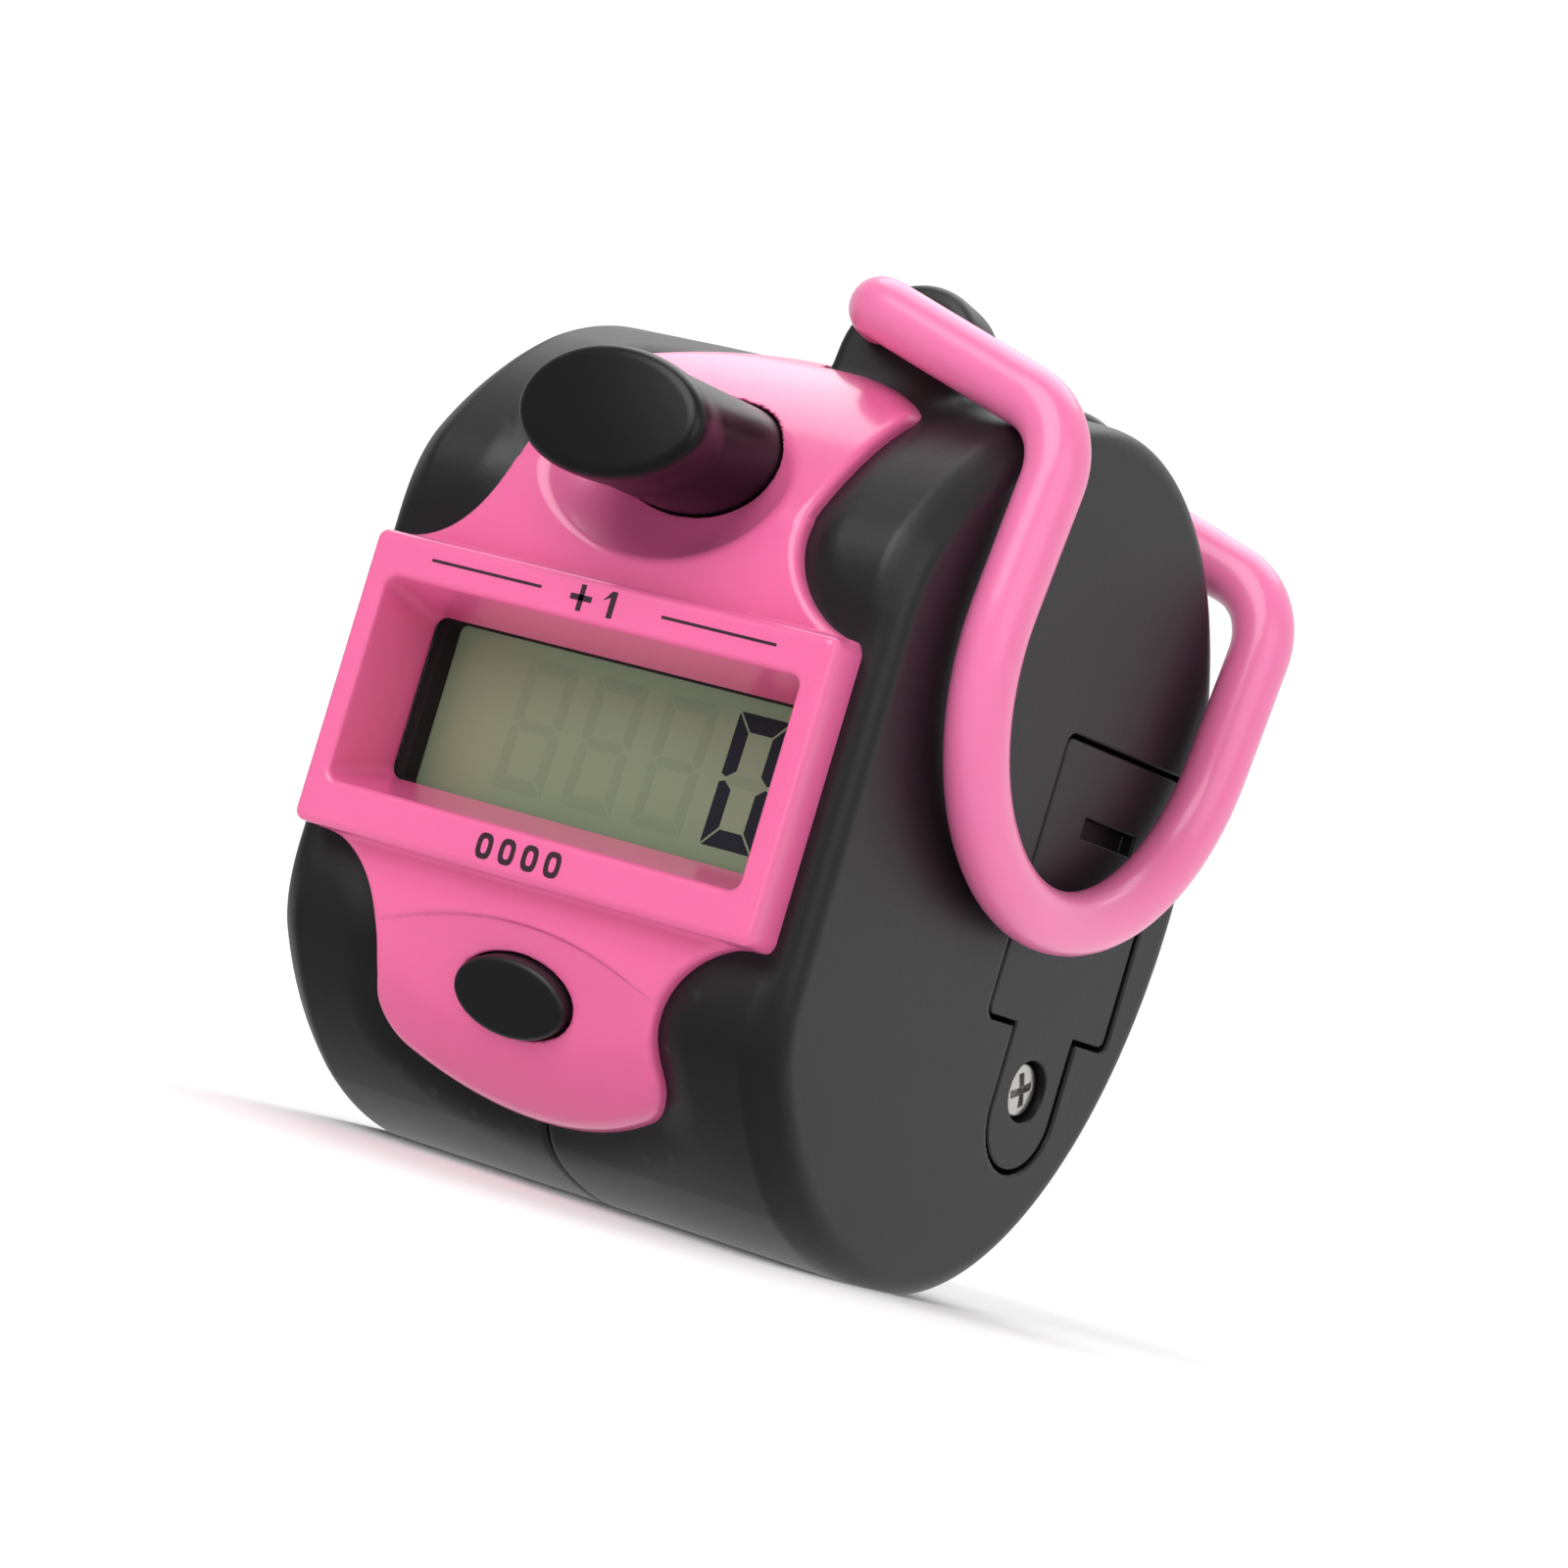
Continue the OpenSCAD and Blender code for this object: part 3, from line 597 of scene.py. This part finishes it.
# ---- display ----
def plate(outline, y, t, name):
    """thin plate facing -Y from a list of (x, z) outlines, in mm"""
    verts, faces = [], []
    for pts in outline:
        n, b = len(pts), len(verts)
        verts += [(px * MM, y * MM, pz * MM) for px, pz in pts]
        verts += [(px * MM, (y + t) * MM, pz * MM) for px, pz in pts]
        faces.append(tuple(b + k for k in range(n)))
        faces.append(tuple(b + n + k for k in range(n))[::-1])
        for k in range(n):
            k2 = (k + 1) % n
            faces.append((b + k2, b + k, b + n + k, b + n + k2))
    me = bpy.data.meshes.new(name)
    me.from_pydata(verts, [], faces)
    me.validate()
    me.update()
    ob = bpy.data.objects.new(name, me)
    bpy.context.scene.collection.objects.link(ob)
    return ob


def digit(cx, cz, w, h, on, gap=0.1, t=0.72, lean=0.02):
    """seven segments of one digit as outlines; on is a string of segment letters"""
    a, m = w / 2, h / 2
    # the upper right bar; the three other upright bars are its mirror images
    bar = [(a, m - gap), (a, gap * 2.2), (a - t * 0.35, gap),
           (a - t + gap, t * 0.42 + gap), (a - t + gap, m - t - gap)]
    seg = {
        "a": [(-a + gap, m), (a - gap, m), (a - t, m - t), (-a + t, m - t)],
        "d": [(-a + gap, -m), (-a + t, -m + t), (a - t, -m + t), (a - gap, -m)],
        "b": bar,
        "f": [(-px, pz) for px, pz in bar[::-1]],
        "c": [(px, -pz) for px, pz in bar[::-1]],
        "e": [(-px, -pz) for px, pz in bar],
        "g": [(-a + t * 0.55, 0), (-a + t, t * 0.42), (a - t, t * 0.42),
              (a - t * 0.55, 0), (a - t, -t * 0.42), (-a + t, -t * 0.42)],
    }
    return [[(cx + px + lean * pz, cz + pz) for px, pz in seg[k]] for k in on]


lo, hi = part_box("lcd_glass")
LCD_Y = lo.y / MM
CX = (-6.35, -1.68, 2.98, 7.65)
DIGIT = (23.05, 3.3, 7.1)
unlit = [o for cx in CX[:3] for o in digit(cx, *DIGIT, "abcdefg")] + digit(CX[3], *DIGIT, "g")
ghost = plate(unlit, LCD_Y - 0.012, 0.02, "lcd_ghost_segments")
place(ghost, GHOST, "counter")
zero = plate(digit(CX[3], *DIGIT, "abcdef", t=0.95), LCD_Y - 0.03, 0.03, "lcd_zero")
place(zero, INK, "counter")


# ---- printed marks on the display frame: dashes, a plus one and a row of zeros ----
def box2(x0, x1, z0, z1):
    return [(x0, z0), (x1, z0), (x1, z1), (x0, z1)]


def ring2(cx, cz, w, h, t, n=24):
    """an upright 0 as strips"""
    out = []
    for k in range(n):
        a0, a1 = 2 * math.pi * k / n, 2 * math.pi * (k + 1) / n
        o = []
        for a, f in ((a0, 0), (a1, 0), (a1, t), (a0, t)):
            ww, hh = w / 2 - f, h / 2 - f
            sx = math.copysign(abs(math.cos(a)) ** 0.7, math.cos(a))
            sz = math.copysign(abs(math.sin(a)) ** 0.7, math.sin(a))
            o.append((cx + ww * sx, cz + hh * sz))
        out.append(o)
    return out


marks = [box2(-10.9, -3.5, 29.71, 29.87), box2(4.4, 11.7, 29.66, 29.82)]
marks += [box2(-1.55, -0.15, 29.56, 29.88), box2(-1.01, -0.69, 29.02, 30.42)]
marks += [box2(1.0, 1.36, 29.02, 30.42), [(0.55, 29.85), (1.0, 30.08), (1.0, 30.42)]]
for k in range(4):
    marks += ring2(-2.2 + k * 1.5, 16.2, 1.02, 1.38, 0.3)
pr = plate(marks, FRAME_Y - 0.012, 0.03, "printed_marks")
place(pr, PRINT, "counter")

# ---- stage, lights, camera ----
def stage_material(name, base, glow):
    m = bpy.data.materials.new(name)
    m.use_nodes = True
    nt = m.node_tree
    p = nt.nodes["Principled BSDF"]
    noise = nt.nodes.new("ShaderNodeTexNoise")
    noise.inputs["Scale"].default_value = 40
    ramp = nt.nodes.new("ShaderNodeMapRange")
    ramp.inputs["To Min"].default_value = base - 0.01
    ramp.inputs["To Max"].default_value = base
    nt.links.new(noise.outputs["Fac"], ramp.inputs["Value"])
    nt.links.new(ramp.outputs["Result"], p.inputs["Base Color"])
    p.inputs["Roughness"].default_value = 0.9
    p.inputs["Specular IOR Level"].default_value = 0.1
    p.inputs["Emission Color"].default_value = (1, 1, 1, 1)
    p.inputs["Emission Strength"].default_value = glow
    return m


bpy.ops.mesh.primitive_circle_add(radius=1.5, vertices=96, fill_type="NGON")
floor = bpy.context.object
floor.name = "floor"
floor.data.materials.append(stage_material("floor_paper", 0.95, 0.05))
bpy.ops.mesh.primitive_uv_sphere_add(radius=1.51, segments=64, ring_count=32)
backdrop = bpy.context.object
backdrop.name = "backdrop"
backdrop.data.shade_smooth()
backdrop.data.materials.append(stage_material("backdrop_paper", 0.05, 1.0))
for flag in ("visible_diffuse", "visible_glossy", "visible_transmission", "visible_shadow"):
    setattr(backdrop, flag, False)
floor.visible_glossy = False

world = bpy.data.worlds.new("studio")
bpy.context.scene.world = world
world.use_nodes = True
wt = world.node_tree
wc = wt.nodes.new("ShaderNodeTexCoord")
ws = wt.nodes.new("ShaderNodeSeparateXYZ")
wr = wt.nodes.new("ShaderNodeMapRange")
wr.inputs["From Min"].default_value = -0.2
wr.inputs["From Max"].default_value = 0.75
wr.inputs["To Min"].default_value = 0.2
wr.inputs["To Max"].default_value = 0.95
wt.links.new(wc.outputs["Generated"], ws.inputs["Vector"])
wt.links.new(ws.outputs["Y"], wr.inputs["Value"])
wt.links.new(wr.outputs["Result"], wt.nodes["Background"].inputs["Strength"])
wt.nodes["Background"].inputs["Color"].default_value = (1, 1, 1, 1)


def sun(name, toward, power, angle):
    d = bpy.data.lights.new(name, "SUN")
    d.energy = power
    d.angle = math.radians(angle)
    o = bpy.data.objects.new(name, d)
    bpy.context.scene.collection.objects.link(o)
    o.rotation_euler = Vector(toward).to_track_quat("Z", "Y").to_euler()
    return o


sun("key_soft", (-0.12, -0.78, 0.68), 1.9, 50)
sun("top_soft", (-0.25, 0.40, 0.85), 1.35, 55)
sun("right_fill", (0.80, -0.45, 0.35), 0.7, 50)

cam_data = bpy.data.cameras.new("camera")
cam = bpy.data.objects.new("camera", cam_data)
bpy.context.scene.collection.objects.link(cam)
cam_data.lens = 117.454
cam_data.sensor_width = 36
cam_data.clip_start = 0.005
cam_data.clip_end = 20
R = Matrix(((0.795009, -0.209589, 0.56924), (0.535125, -0.1996, -0.820854), (0.285662, 0.9572, -0.046527)))
cam.matrix_world = Matrix.Translation(Vector((0.1579275, -0.2263832, 0.0114409))) @ R.to_4x4()
bpy.context.scene.camera = cam
bpy.context.scene.view_settings.view_transform = "Standard"
